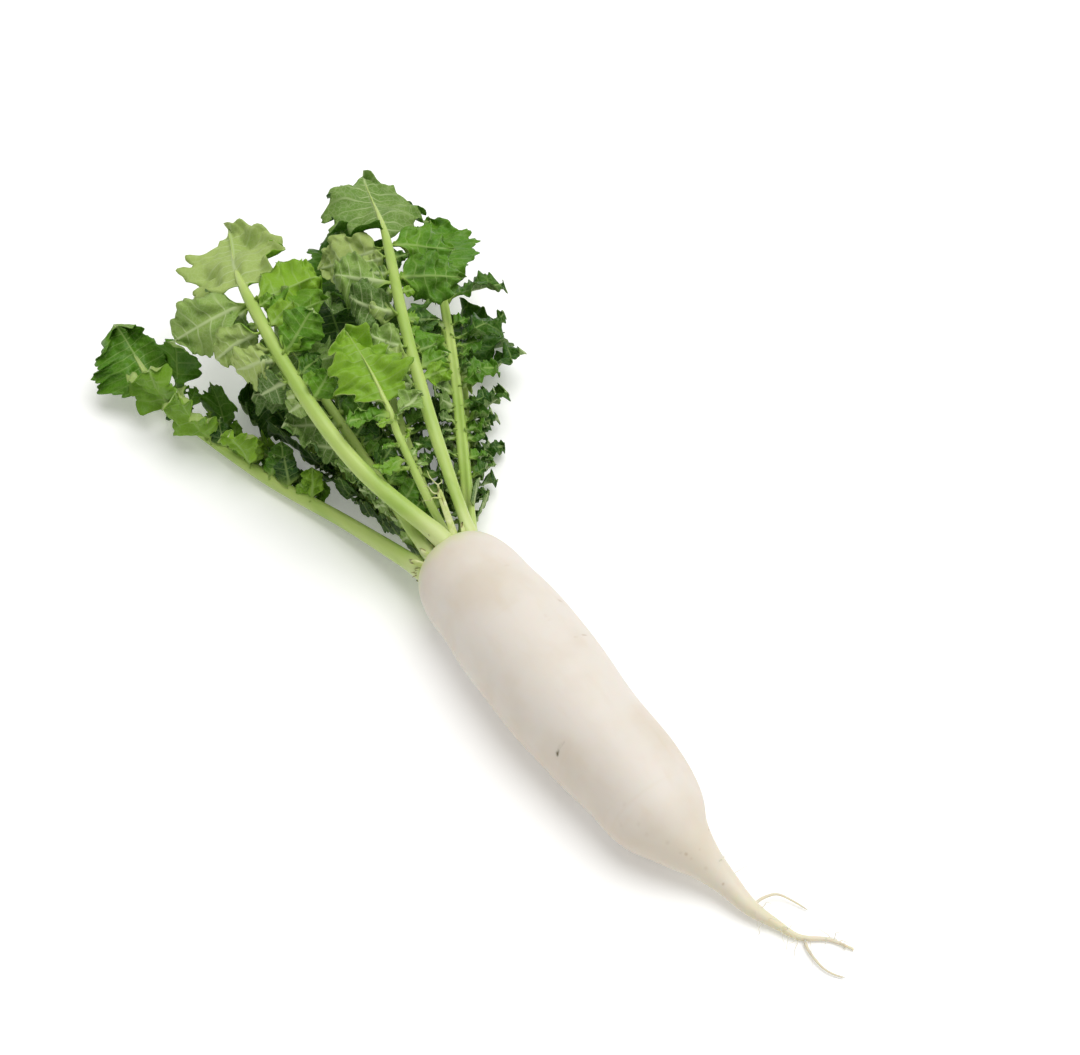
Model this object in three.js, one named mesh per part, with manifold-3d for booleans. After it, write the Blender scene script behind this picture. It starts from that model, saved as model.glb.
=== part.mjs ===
import * as THREE from 'three';
import { mergeVertices } from 'three/addons/utils/BufferGeometryUtils.js';
import Module from 'manifold-3d';

// A daikon radish with its leaves, lying on its side, in millimetres. +X runs along the root from
// the crown to the tail, +Z is up, z = 0 is the surface it lies on, and the origin is on the flat
// spot under the widest part of the root. Every leaf grows from a ring of bases on the crown.

const wasm = await Module();
wasm.setup();

// Root

const CROWN_X = -90;            // plane that the leaf bases stand on
const CROWN_RADIUS = 18.5;
const SHOULDER_X = -52;         // where the round shoulder runs into the body
const FLAT_DEPTH = 1;           // how much the resting flat takes off the underside
const ROOT_SIDES = 20;

// Body and tail from the shoulder to the tip: station, sideways sway, height and radius of a
// section. A height of null is a section that lies on the surface.
const ROOT_SECTIONS = [
  [SHOULDER_X, 0, null, 32.5],
  [-28, -1, null, 34.4],
  [0, -2, null, 35.2],
  [32, -3, null, 34.4],
  [64, -2, null, 32.2],
  [96, 0, null, 30.5],
  [117, 0, null, 28.4],
  [131, 0.5, 26, 24.6],
  [144, 2, 23, 17.6],
  [158, 6, 18, 11],
  [171, 10, 13, 7.3],
  [190, 14, 8, 4.6],
  [205, 21, 4.4, 2.7],
  [217, 27, 2.6, 1.8],
  [227, 40, 1.8, 1.3],
  [238, 47, 1.5, 1],
];
const SHOULDER_STEPS = 6;
const STEPS_PER_SECTION = 2;

// Side roots: where each leaves the tail, as a share of the root's length, and where it ends
const SIDE_ROOTS = [
  { from: 0.74, bend: [180, 34, 5], tip: [206, 42, 1.3] },
  { from: 0.88, bend: [236, 20, 2.4], tip: [250, 33, 1.3] },
];
const SIDE_ROOT_RADIUS = 0.8;

// Leaves

const CROWN_GAP = 0.3;          // clearance between the crown and the leaf bases
const STALK_SIDES = 6;
const STALK_STEPS = 7;
const STALK_END = 0.82;         // share of the leaf where its stalk has run out into the blade
const STALK_FRONT = 0.28;       // depth of the stalk's flat side and of its round side,
const STALK_BACK = 0.46;        // as shares of its width
const HEAP_MIDDLE = 25;         // sideways middle of the heap of leaves
const BLADE_THICKNESS = 0.8;
const NOTCH_DEPTH = 0.24;       // depth of the notches between teeth, as a share of the half-width
const NARROWEST = 0.1;          // least half-width of a blade, as a share of its widest

// Side leaflets: pairs of numbers are the ends of a range that a random number picks from.
// Angles are in degrees, half-width and curl are shares of the length, cup is a slope, wave is a
// share of the half-width.
const LEAFLET = {
  teeth: 3, smallTeeth: 2, smallBelow: 0.6, shortest: 0.4, length: [0.85, 1.1],
  lean: [63, 77], raise: [-28, 28], twist: [16, 40],
  half: [0.38, 0.46], curl: [-0.2, 0.16], cup: [-0.1, 0.4], wave: [0.14, 0.3],
  waves: 1.5, sweep: 0.14, jitter: [-0.01, 0.01], crowding: 1.2, clearOfTip: 0.05,
};

// The lobe that ends the leaf
const TERMINAL = { teeth: 5, cup: [-0.1, 0.3], wave: 0.18, waves: 1.6 };

// Spaces that the leaves lie in, one above the other: heights, and how far a blade that reaches
// a side wall turns up (or down) for each millimetre that it is turned back
const ON_SURFACE = { low: 0.7, high: 29, turn: 0.6 };
const IN_MIDDLE = { low: 31, high: 66, turn: 0.4 };
const ON_TOP = { low: 68, high: 122, turn: -0.5 };
const STANDING_FREE = { low: 0.7, high: 64, turn: 0.5 };
const OVER_THE_REST = { low: 92, high: 124, turn: -0.3 };
const FREE_SIDEWAYS = 0.6;      // share of a space in which blades lie as they grow
const FREE_UPWARDS = 0.65;

// The leaves. route: points of the middle line from the crown to the tip. around: bearing of the
// base on the crown's ring, in degrees from +Y towards +Z. facing: where the upper side of the
// blade looks at its first leaflets and at its tip, in the same degrees. width: of the stalk at its base and near its tip. bare: share
// of the length with no leaflets. leaflet: longest one. terminal: share where the end lobe starts,
// and its half-width. raise: degrees that leaflets fold towards the upper side. between: bearings
// of the side walls of the leaf's space, in degrees from -X towards +Y about the crown.
const LEAVES = [
  {
    name: 'leaf_outer_left', seed: 11, space: STANDING_FREE, between: [-40, -13],
    route: [[-90, -16, 31], [-165, -29, 14], [-238, -52, 9], [-320, -72, 18], [-372, -76, 60]],
    around: 188, facing: [30, 96], width: [13.5, 9.5], bare: 0.34, pairs: 5, leaflet: 58,
    terminal: [0.77, 33], raise: 50,
  },
  {
    name: 'leaf_top_left', seed: 23, space: ON_TOP, between: [-17, 8.5],
    route: [[-90, -3, 49], [-152, -26, 73], [-226, -29, 92], [-304, -17, 102], [-382, 13, 92]],
    around: 100, facing: [292, 292], width: [12.5, 6], bare: 0.42, pairs: 5, leaflet: 54,
    terminal: [0.74, 36], raise: 14,
  },
  {
    name: 'leaf_top_short', seed: 33, space: OVER_THE_REST, between: [-24, 30],
    route: [[-90, 2, 40], [-118, 1, 60], [-148, 2, 82], [-187, 7, 100], [-224, 10, 106]],
    around: 75, facing: [262, 262], width: [6, 3.6], bare: 0.54, pairs: 2, leaflet: 27,
    terminal: [0.62, 26], raise: 8,
  },
  {
    name: 'leaf_top_right', seed: 47, space: ON_TOP, between: [9.5, 40],
    route: [[-90, 13, 43], [-152, 27, 74], [-225, 51, 92], [-304, 84, 98], [-384, 114, 94]],
    around: 36, facing: [265, 265], width: [9.5, 5.5], bare: 0.36, pairs: 5, leaflet: 54,
    terminal: [0.74, 36], raise: 14,
  },
  {
    name: 'leaf_middle_left', seed: 59, space: IN_MIDDLE, between: [-18, 8],
    route: [[-90, -13, 41], [-140, -11, 46], [-192, -7, 48], [-246, -3, 50], [-300, 0, 54]],
    around: 146, facing: [272, 272], width: [8.5, 5], bare: 0.3, pairs: 5, leaflet: 44,
    terminal: [0.72, 32], raise: 2,
  },
  {
    name: 'leaf_middle', seed: 61, space: IN_MIDDLE, between: [9, 25.5],
    route: [[-90, 0, 29], [-150, 14, 42], [-218, 34, 48], [-293, 59, 51], [-368, 86, 56]],
    around: 260, facing: [88, 88], width: [7.5, 5], bare: 0.32, pairs: 5, leaflet: 46,
    terminal: [0.74, 34], raise: 6,
  },
  {
    name: 'leaf_middle_right', seed: 73, space: IN_MIDDLE, between: [26.5, 50],
    route: [[-90, 15, 29], [-150, 46, 42], [-214, 79, 49], [-284, 112, 53], [-352, 144, 58]],
    around: 342, facing: [100, 100], width: [8.5, 5], bare: 0.3, pairs: 5, leaflet: 46,
    terminal: [0.74, 34], raise: 6,
  },
  {
    name: 'leaf_lower_left', seed: 83, space: ON_SURFACE, between: [-12, 3.5],
    route: [[-90, -11, 21], [-140, -4, 13], [-192, -8, 9], [-246, -15, 9], [-301, -21, 13]],
    around: 228, facing: [84, 84], width: [8.5, 5], bare: 0.26, pairs: 5, leaflet: 42,
    terminal: [0.74, 31], raise: 16,
  },
  {
    name: 'leaf_lower', seed: 97, space: ON_SURFACE, between: [4.5, 23.5],
    route: [[-90, -1, 17], [-155, 14, 11], [-220, 28, 8], [-288, 45, 9], [-354, 63, 13]],
    around: 266, facing: [90, 90], width: [8.5, 5], bare: 0.26, pairs: 5, leaflet: 44,
    terminal: [0.74, 34], raise: 16,
  },
  {
    name: 'leaf_lower_right', seed: 101, space: ON_SURFACE, between: [24.5, 52],
    route: [[-90, 9, 20], [-140, 40, 12], [-190, 72, 8], [-240, 101, 9], [-288, 130, 13]],
    around: 304, facing: [96, 96], width: [8.5, 5], bare: 0.24, pairs: 5, leaflet: 44,
    terminal: [0.74, 34], raise: 16,
  },
];

const { degToRad: radians, smoothstep } = THREE.MathUtils;
const vector = (point) => new THREE.Vector3(...point);

// Repeatable random numbers from 0 to 1
function draws(seed) {
  let state = seed;
  return () => {
    state = (state * 1664525 + 1013904223) % 4294967296;
    return state / 4294967296;
  };
}

function toSolid(geometry) {
  const bare = geometry.clone();
  bare.deleteAttribute('normal');
  bare.deleteAttribute('uv');
  const merged = mergeVertices(bare, 1e-4);
  return new wasm.Manifold(new wasm.Mesh({
    numProp: 3,
    vertProperties: new Float32Array(merged.attributes.position.array),
    triVerts: new Uint32Array(merged.index.array),
  }));
}

function toGeometry(solid) {
  const mesh = solid.getMesh();
  const geometry = new THREE.BufferGeometry();
  geometry.setAttribute('position', new THREE.BufferAttribute(mesh.vertProperties, 3));
  geometry.setIndex(new THREE.BufferAttribute(mesh.triVerts, 1));
  geometry.computeVertexNormals();
  return geometry;
}

// The outer body alone: a pocket that joining blades has sealed is filled, a loose scrap dropped
function wholeBody(solid) {
  const bodies = solid.decompose();
  return bodies.reduce((best, body) => (body.volume() > best.volume() ? body : best));
}

// A closed tube through sections: place(share, across, up) gives the point of the section at
// that share of the length, and across and up are the point's place on the unit circle.
function tube(sides, shares, place) {
  const geometry = new THREE.CylinderGeometry(1, 1, 1, sides, shares.length - 1);
  const position = geometry.attributes.position;
  for (let i = 0; i < position.count; i += 1) {
    const step = Math.round((position.getY(i) + 0.5) * (shares.length - 1));
    const point = place(shares[step], position.getX(i), -position.getZ(i));
    position.setXYZ(i, point.x, point.y, point.z);
  }
  return toSolid(geometry);
}

const evenShares = (steps) => Array.from({ length: steps + 1 }, (_, i) => i / steps);

// Root

const rootPoints = ROOT_SECTIONS.map(([x, y, z, radius]) =>
  new THREE.Vector3(x, y, z ?? radius - FLAT_DEPTH));
const rootAxis = new THREE.CatmullRomCurve3(rootPoints);
const rootRadii = new THREE.SplineCurve(ROOT_SECTIONS.map(([x, , , radius]) =>
  new THREE.Vector2(x, radius)));

// Centre, direction and radius of the section at a share of the root's length. Shares below
// zero are on the shoulder, which is a quarter of an ellipse from the crown to the body.
function rootSection(share) {
  if (share < 0) {
    const turn = (1 + share) * Math.PI / 2;
    const reach = SHOULDER_X - CROWN_X;
    const radius = CROWN_RADIUS + (rootRadii.getPoint(0).y - CROWN_RADIUS) * Math.sin(turn);
    const centre = rootPoints[0].clone();
    centre.x = CROWN_X + reach * (1 - Math.cos(turn));
    return { centre, along: new THREE.Vector3(1, 0, 0), radius };
  }
  return {
    centre: rootAxis.getPoint(share),
    along: rootAxis.getTangent(share),
    radius: rootRadii.getPoint(share).y,
  };
}

function rootSkin(share, across, up) {
  const { centre, along, radius } = rootSection(share);
  const side = new THREE.Vector3(0, 0, 1).cross(along).normalize();
  const top = along.clone().cross(side);
  return centre.addScaledVector(side, across * radius).addScaledVector(top, up * radius);
}

function sideRoot({ from, bend, tip }) {
  const route = new THREE.QuadraticBezierCurve3(rootSection(from).centre, vector(bend), vector(tip));
  return tube(4, evenShares(6), (share, across, up) => {
    const along = route.getTangent(share);
    const side = new THREE.Vector3(0, 0, 1).cross(along).normalize();
    const top = along.clone().cross(side);
    return route.getPoint(share)
      .addScaledVector(side, across * SIDE_ROOT_RADIUS)
      .addScaledVector(top, up * SIDE_ROOT_RADIUS);
  });
}

function makeRoot() {
  const shoulder = evenShares(SHOULDER_STEPS).map((share) => share - 1).slice(0, -1);
  const body = evenShares((ROOT_SECTIONS.length - 1) * STEPS_PER_SECTION);
  let root = tube(ROOT_SIDES, [...shoulder, ...body], rootSkin);
  for (const side of SIDE_ROOTS) {
    root = root.add(sideRoot(side));
  }
  const below = new THREE.BoxGeometry(1000, 200, 50).translate(0, 0, -25);
  return root.subtract(toSolid(below));
}

// Leaves

const mix = THREE.MathUtils.lerp;
const pick = ([low, high], random) => mix(low, high, random());

// Middle line of a leaf: at a share of its length, the centre, the directions along it, across
// it and to its upper side, and the stalk's width
function leafLine(leaf) {
  const line = new THREE.CatmullRomCurve3(leaf.route.map(vector));
  const inward = leaf.around < 180 ? leaf.around + 180 : leaf.around - 180;
  return (share) => {
    const twist = smoothstep(share, 0, leaf.bare);
    const [first, last] = leaf.facing;
    const facing = mix(first, last, smoothstep(share, leaf.bare, 1));
    const angle = radians(mix(inward, facing, twist));
    const towards = new THREE.Vector3(0, Math.cos(angle), Math.sin(angle));
    const along = line.getTangent(share);
    const across = towards.cross(along).normalize();
    const upper = along.clone().cross(across);
    const [base, tip] = leaf.width;
    const width = mix(base, tip, Math.pow(share, 0.8));
    return { centre: line.getPoint(share), along, across, upper, width };
  };
}

// How far the heap of leaves sinks towards its tips and sides, as a share of full height
function sink(point) {
  const out = smoothstep(-point.x, 250, 400);
  const beside = smoothstep(Math.abs(point.y - HEAP_MIDDLE), 55, 140)
    * smoothstep(-point.x, 110, 200);
  point.z *= 1 - 0.28 * out - 0.2 * beside;
  return point;
}

// Brings a value back inside a limit, gently: nothing moves within the free share of the limit
function soften(value, limit, free) {
  const edge = limit * free;
  const past = Math.abs(value) - edge;
  if (past <= 0) {
    return value;
  }
  return Math.sign(value) * (edge + (limit - edge) * Math.tanh(past / (limit - edge)));
}

// Keeps a point of a blade inside the leaf's own space
function settle(point, { space, between }) {
  const away = CROWN_X - point.x;
  const reach = Math.hypot(away, point.y);
  const middle = radians((between[0] + between[1]) / 2);
  const bearing = Math.atan2(point.y, away) - middle;
  const held = soften(bearing, radians((between[1] - between[0]) / 2), FREE_SIDEWAYS);
  const turned = Math.abs(bearing - held) * reach * space.turn;
  const level = (space.low + space.high) / 2;
  const height = soften(point.z + turned - level, (space.high - space.low) / 2, FREE_UPWARDS);
  return sink(new THREE.Vector3(
    CROWN_X - reach * Math.cos(middle + held),
    reach * Math.sin(middle + held),
    level + height,
  ));
}

// Half-width of a blade at a share of its length, as a share of its widest, with teeth
function bladeOutline(share, teeth) {
  const body = Math.pow(Math.sin(Math.PI * Math.pow(share, 0.85)), 0.7);
  const notch = 0.5 + 0.5 * Math.cos(2 * Math.PI * teeth * share);
  return Math.max(body * (1 - NOTCH_DEPTH * notch), NARROWEST);
}

// A closed thin blade over a grid, split alike on both faces. place(along, across) gives the
// middle surface, with along from 0 to 1 and across from -1 to 1.
function blade(columns, rows, place) {
  const middle = [];
  for (let i = 0; i <= columns; i += 1) {
    for (let j = 0; j <= rows; j += 1) {
      middle.push(place(i / columns, 2 * j / rows - 1));
    }
  }
  const at = (i, j) => i * (rows + 1) + j;
  const faces = [];
  for (let i = 0; i < columns; i += 1) {
    for (let j = 0; j < rows; j += 1) {
      faces.push([at(i, j), at(i + 1, j), at(i + 1, j + 1)]);
      faces.push([at(i, j), at(i + 1, j + 1), at(i, j + 1)]);
    }
  }
  const rim = [];
  for (let i = 0; i < columns; i += 1) {
    rim.push([at(i, 0), at(i + 1, 0)], [at(i + 1, rows), at(i, rows)]);
  }
  for (let j = 0; j < rows; j += 1) {
    rim.push([at(columns, j), at(columns, j + 1)], [at(0, j + 1), at(0, j)]);
  }

  const surface = new THREE.BufferGeometry().setFromPoints(middle);
  surface.setIndex(faces.flat());
  surface.computeVertexNormals();
  const offset = (sign) => middle.map((point, i) => {
    const normal = new THREE.Vector3().fromBufferAttribute(surface.attributes.normal, i);
    return point.clone().addScaledVector(normal, sign * BLADE_THICKNESS / 2);
  });
  const under = middle.length;
  const index = faces.flat();
  for (const [a, b, c] of faces) {
    index.push(a + under, c + under, b + under);
  }
  for (const [a, b] of rim) {
    index.push(a, a + under, b + under, a, b + under, b);
  }
  const geometry = new THREE.BufferGeometry().setFromPoints([...offset(1), ...offset(-1)]);
  geometry.setIndex(index);
  return toSolid(geometry);
}

function makeStalk(leaf, line) {
  return tube(STALK_SIDES, evenShares(STALK_STEPS), (share, across, up) => {
    const { centre, across: side, upper, width } = line(share * STALK_END);
    const depth = up > 0 ? STALK_FRONT : STALK_BACK;
    const point = centre
      .addScaledVector(side, across * width / 2)
      .addScaledVector(upper, up * width * depth);
    point.x = share === 0 ? CROWN_X - CROWN_GAP : Math.min(point.x, CROWN_X - CROWN_GAP);
    return sink(point);
  });
}

// One side leaflet, growing from the stalk at a share of the leaf's length. hand is its side.
function makeLeaflet(leaf, line, share, hand, length, random) {
  const { centre, along, across, upper } = line(share);
  const lean = radians(pick(LEAFLET.lean, random));
  const raise = radians(leaf.raise + pick(LEAFLET.raise, random));
  const twist = radians(hand * pick(LEAFLET.twist, random));
  const outward = across.clone().multiplyScalar(hand * Math.cos(raise))
    .addScaledVector(upper, Math.sin(raise));
  const out = along.clone().multiplyScalar(Math.cos(lean))
    .addScaledVector(outward, Math.sin(lean));
  const level = out.clone().cross(along).cross(out).normalize().applyAxisAngle(out, twist);
  const face = level.clone().cross(out).multiplyScalar(hand);
  const half = length * pick(LEAFLET.half, random);
  const curl = length * pick(LEAFLET.curl, random);
  const cup = pick(LEAFLET.cup, random);
  const wave = half * pick(LEAFLET.wave, random);
  const phase = random();
  const small = length < LEAFLET.smallBelow * leaf.leaflet;
  const teeth = small ? LEAFLET.smallTeeth : LEAFLET.teeth;
  return blade(teeth * 2, 2, (u, v) => {
    const width = half * bladeOutline(u, teeth);
    const ruffle = wave * v * Math.sin(2 * Math.PI * (LEAFLET.waves * u + phase));
    const sweep = LEAFLET.sweep * Math.abs(v) * Math.sin(Math.PI * u);
    const point = centre.clone()
      .addScaledVector(out, length * (u + sweep))
      .addScaledVector(level, width * v)
      .addScaledVector(face, curl * u * u + cup * width * Math.abs(v) + ruffle);
    return settle(point, leaf);
  });
}

// The broad lobe that ends the leaf, along the last stretch of its middle line
function makeTerminal(leaf, line, random) {
  const [start, half] = leaf.terminal;
  const phase = random();
  const cup = pick(TERMINAL.cup, random);
  return blade(TERMINAL.teeth * 2, 4, (u, v) => {
    const { centre, across, upper } = line(start + (1 - start) * u);
    const width = half * bladeOutline(u, TERMINAL.teeth);
    const turns = TERMINAL.waves * u + phase;
    const ruffle = half * TERMINAL.wave * v * Math.sin(2 * Math.PI * turns);
    const point = centre
      .addScaledVector(across, width * v)
      .addScaledVector(upper, cup * width * Math.abs(v) + ruffle);
    return settle(point, leaf);
  });
}

function makeLeaf(leaf) {
  const line = leafLine(leaf);
  const random = draws(leaf.seed);
  let solid = makeStalk(leaf, line).add(makeTerminal(leaf, line, random));
  for (let pair = 0; pair < leaf.pairs; pair += 1) {
    const rank = pair / (leaf.pairs - 1);
    const last = leaf.terminal[0] - LEAFLET.clearOfTip;
    const station = mix(leaf.bare, last, Math.pow(rank, LEAFLET.crowding));
    for (const hand of [-1, 1]) {
      const share = station + pick(LEAFLET.jitter, random);
      const length = leaf.leaflet * mix(LEAFLET.shortest, 1, rank) * pick(LEAFLET.length, random);
      solid = solid.add(makeLeaflet(leaf, line, share, hand, length, random));
    }
  }
  return wholeBody(solid);
}

// The whole radish

function addPiece(group, name, solid, look) {
  const mesh = new THREE.Mesh(toGeometry(solid), new THREE.MeshStandardMaterial(look));
  mesh.name = name;
  group.add(mesh);
}

const ROOT_LOOK = { color: '#efe6d8', roughness: 0.45, metalness: 0 };
const LEAF_LOOK = { color: '#5b9a35', roughness: 0.55, metalness: 0 };

const radish = new THREE.Group();
addPiece(radish, 'root', makeRoot(), ROOT_LOOK);
for (const leaf of LEAVES) {
  addPiece(radish, leaf.name, makeLeaf(leaf), LEAF_LOOK);
}

export default radish;
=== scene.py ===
# %% [markdown]
# This lesson dresses one daikon radish that lies on its side: a moist cream root with a thin wavy
# tail, and a bunch of toothed leaves. The fixed frame is loaded first, because every piece here
# stands for one of its solids and has to stay where that solid is.

# %% Load the frame
import math
import bpy
import numpy as np
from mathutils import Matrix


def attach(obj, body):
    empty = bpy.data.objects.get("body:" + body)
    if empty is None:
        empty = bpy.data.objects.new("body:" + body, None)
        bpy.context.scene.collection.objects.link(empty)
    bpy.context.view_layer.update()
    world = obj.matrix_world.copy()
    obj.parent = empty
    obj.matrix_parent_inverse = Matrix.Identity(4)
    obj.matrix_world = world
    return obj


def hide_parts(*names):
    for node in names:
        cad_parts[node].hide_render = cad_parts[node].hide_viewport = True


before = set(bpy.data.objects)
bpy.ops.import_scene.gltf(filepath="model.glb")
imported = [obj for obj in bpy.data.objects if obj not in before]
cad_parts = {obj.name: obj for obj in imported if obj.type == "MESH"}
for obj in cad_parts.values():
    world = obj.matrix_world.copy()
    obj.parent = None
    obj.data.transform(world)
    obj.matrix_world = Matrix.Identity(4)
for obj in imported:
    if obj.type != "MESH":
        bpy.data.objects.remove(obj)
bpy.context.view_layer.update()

# %% [markdown]
# A grower measures a radish in millimetres, so every size in this lesson is in millimetres, and
# MM turns a point into metres at the moment it is written into a mesh.

# %% Units and directions
MM = 0.001
UP = np.array([0.0, 0.0, 1.0])

# %% [markdown]
# The camera looks down at about 48 degrees with a long lens, from the side of the tail. It is made
# first, so that each piece can be judged as soon as it exists.

# %% Camera
CAMERA_PLACE = (0.7682, -0.4967, 1.1593)
CAMERA_AIM = (-0.10645, 0.07304, 0.0)
CAMERA_LENS = 85


def look_from(thing, place, aim):
    """Stands a camera or lamp at place, turned to aim."""
    away = np.subtract(place, aim)
    level = np.cross(UP, away)
    level /= np.linalg.norm(level)
    away /= np.linalg.norm(away)
    rise = np.cross(away, level)
    thing.matrix_world = [(*level, 0), (*rise, 0), (*away, 0), (*place, 1)]


bpy.ops.object.camera_add()
camera = bpy.context.object
camera.name = "camera"
camera.data.lens = CAMERA_LENS
look_from(camera, CAMERA_PLACE, CAMERA_AIM)
bpy.context.scene.camera = camera
print("camera looks from", CAMERA_PLACE)

# %% [markdown]
# Light. The radish lies on a white table in soft daylight: a broad light nearly overhead, a little
# behind it and to the right, which leaves a soft shadow close to it on the near left, and a white
# sky that fills the shade. An area lamp would fade across the table, so a sun is used, whose angle
# sets how soft the shadow is. The floor is a large plane, so that its edge is far away.

# %% Daylight, sky and floor
FLOOR_SIZE = 60.0
DAYLIGHT_FROM = (0.1, 0.62, 2.2)
DAYLIGHT_POWER = 2.35
DAYLIGHT_SPREAD = 56        # degrees: a large soft source
SKY_POWER = 0.42
SKY_COLOUR = (1.0, 0.985, 0.935, 1)

bpy.ops.object.light_add(type="SUN")
daylight = bpy.context.object
daylight.name = "daylight"
daylight.data.energy = DAYLIGHT_POWER
daylight.data.angle = math.radians(DAYLIGHT_SPREAD)
look_from(daylight, DAYLIGHT_FROM, (0.0, 0.0, 0.0))

sky = bpy.data.worlds.new("sky")
sky.use_nodes = True
sky.node_tree.nodes["Background"].inputs["Color"].default_value = SKY_COLOUR
sky.node_tree.nodes["Background"].inputs["Strength"].default_value = SKY_POWER
bpy.context.scene.world = sky
bpy.context.scene.view_settings.view_transform = "Standard"

bpy.ops.mesh.primitive_plane_add(size=FLOOR_SIZE)
floor = bpy.context.object
floor.name = "floor"
print("floor", FLOOR_SIZE, "m wide")

# %% [markdown]
# Materials are node groups built in code. This small helper adds a node, sets its fields and
# sockets, and joins its inputs, so that a finish reads as a short list of steps.

# %% Helpers for materials


class Finish:
    """A material whose nodes are added one by one."""

    def __init__(self, name):
        self.material = bpy.data.materials.new(name)
        self.material.use_nodes = True
        self.nodes = self.material.node_tree.nodes
        self.links = self.material.node_tree.links
        self.nodes.clear()

    def add(self, kind, fields=None, **inputs):
        """Adds a node; inputs are values or other nodes' outputs, by the socket's name."""
        node = self.nodes.new("ShaderNode" + kind)
        for field, value in (fields or {}).items():
            setattr(node, field, value)
        for name, value in inputs.items():
            key = int(name[1:]) if name[0] == "_" else name.replace("_", " ")
            socket = node.inputs[key]
            if isinstance(value, bpy.types.NodeSocket):
                self.links.new(value, socket)
            else:
                socket.default_value = value
        return node

    def math(self, operation, *values):
        """A number worked out from numbers or outputs."""
        inputs = {"_" + str(i): value for i, value in enumerate(values)}
        return self.add("Math", {"operation": operation}, **inputs).outputs[0]

    def times(self, value, share):
        """A number or output times another."""
        return self.math("MULTIPLY", value, share)

    def rise(self, value, start, end):
        """0 below start, 1 above end, smooth between."""
        fields = {"interpolation_type": "SMOOTHSTEP"}
        node = self.add("MapRange", fields, Value=value, From_Min=start, From_Max=end)
        return node.outputs[0]

    def fall(self, value, start, end):
        """1 below start, 0 above end, smooth between."""
        return self.math("SUBTRACT", 1.0, self.rise(value, start, end))

    def mix(self, share, first, second):
        """A colour between two colours."""
        node = self.add("Mix", {"data_type": "RGBA"})
        for key, value in ((0, share), (6, first), (7, second)):
            if isinstance(value, bpy.types.NodeSocket):
                self.links.new(value, node.inputs[key])
            elif key == 0:
                node.inputs[key].default_value = value
            else:
                node.inputs[key].default_value = (*value, 1)
        return node.outputs[2]

    def place(self, stretch=(1, 1, 1)):
        """The point on the piece, in metres, scaled along each axis."""
        coordinates = self.add("TexCoord").outputs["Object"]
        return self.add("Mapping", Vector=coordinates, Scale=stretch).outputs[0]

    def noise(self, scale, detail, stretch=(1, 1, 1)):
        """Cloudy noise from 0 to 1; scale is how many clouds go in a metre."""
        place = self.place(stretch)
        return self.add("TexNoise", Vector=place, Scale=scale, Detail=detail).outputs["Fac"]

    def painted(self, name):
        """A number painted on the points of the piece."""
        return self.add("Attribute", {"attribute_name": name}).outputs["Fac"]

    def bump(self, height, distance, strength, under=None):
        """Small relief."""
        inputs = {"Height": height, "Distance": distance, "Strength": strength}
        if under is not None:
            inputs["Normal"] = under
        return self.add("Bump", **inputs).outputs[0]

    def finish(self, shader):
        """Joins the last shader to the surface."""
        self.links.new(shader.outputs[0], self.add("OutputMaterial").inputs["Surface"])
        return self.material


# %% [markdown]
# The table is matt and white. It glows a little by itself, as a sheet lit from below does, so that
# the shadows on it stay as pale as they are on a light table.

# %% Finish of the table
TABLE_WHITE = (0.88, 0.88, 0.88, 1)
TABLE_GLOW = 0.19


def white_table():
    """A matt white surface."""
    finish = Finish("white_table")
    surface = finish.add(
        "BsdfPrincipled",
        Base_Color=TABLE_WHITE,
        Roughness=0.8,
        Emission_Color=(1.0, 1.0, 1.0, 1),
        Emission_Strength=TABLE_GLOW,
    )
    return finish.finish(surface)


floor.data.materials.append(white_table())
print("floor painted")

# %% [markdown]
# Curves. The root and every leaf follow a smooth line through a few points, a Catmull-Rom spline.
# The centripetal kind, whose steps go by the distance between points, has no loops or cusps.

# %% Smooth lines through points


def through(points, shares, even=False):
    """Values on the spline through points, at shares of it. even is the plain kind of spline."""
    points = np.asarray(points, float)
    last = len(points) - 1
    if even:
        padded = np.vstack([points[:1], points, points[-1:]])
    else:
        padded = np.vstack([2 * points[0] - points[1], points, 2 * points[-1] - points[-2]])
    place = np.clip(shares, 0, 1) * last
    first = np.minimum(place.astype(int), last - 1)
    t = (place - first)[..., None]
    a, b, c, d = (padded[first + step] for step in range(4))
    if even:
        start = (c - a) / 2
        end = (d - b) / 2
    else:
        before, between, after = (
            np.sqrt(np.linalg.norm(q - p, axis=-1, keepdims=True))
            for p, q in ((a, b), (b, c), (c, d))
        )
        start = (b - a) / before - (c - a) / (before + between) + (c - b) / between
        end = (c - b) / between - (d - b) / (between + after) + (d - c) / after
        start = start * between
        end = end * between
    return b + start * t + (3 * (c - b) - 2 * start - end) * t**2 + (
        2 * (b - c) + start + end
    ) * t**3


def unit(vectors):
    """Vectors of length 1."""
    return vectors / np.linalg.norm(vectors, axis=-1, keepdims=True)


def direction(points, shares):
    """Direction of the spline at shares of it."""
    step = 1e-4
    ahead = through(points, np.minimum(shares + step, 1))
    return unit(ahead - through(points, np.maximum(shares - step, 0)))


def mix(low, high, share):
    """A value between low and high."""
    return low + (high - low) * share


def smooth_rise(value, start, end):
    """0 below start, 1 above end, smooth between."""
    t = np.clip((value - start) / (end - start), 0, 1)
    return t * t * (3 - 2 * t)


# %% [markdown]
# A sheet rolled into a tube. A flat grid is the start of every long round piece: its points are
# put where the real surface is, its two long edges meet, and where the radius is nothing the end
# closes by itself once the doubled points are merged. It is quick, and the grid runs along the
# piece and round it, as rings and fibres do on the real one.

# %% Roll a grid into a closed tube


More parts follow.
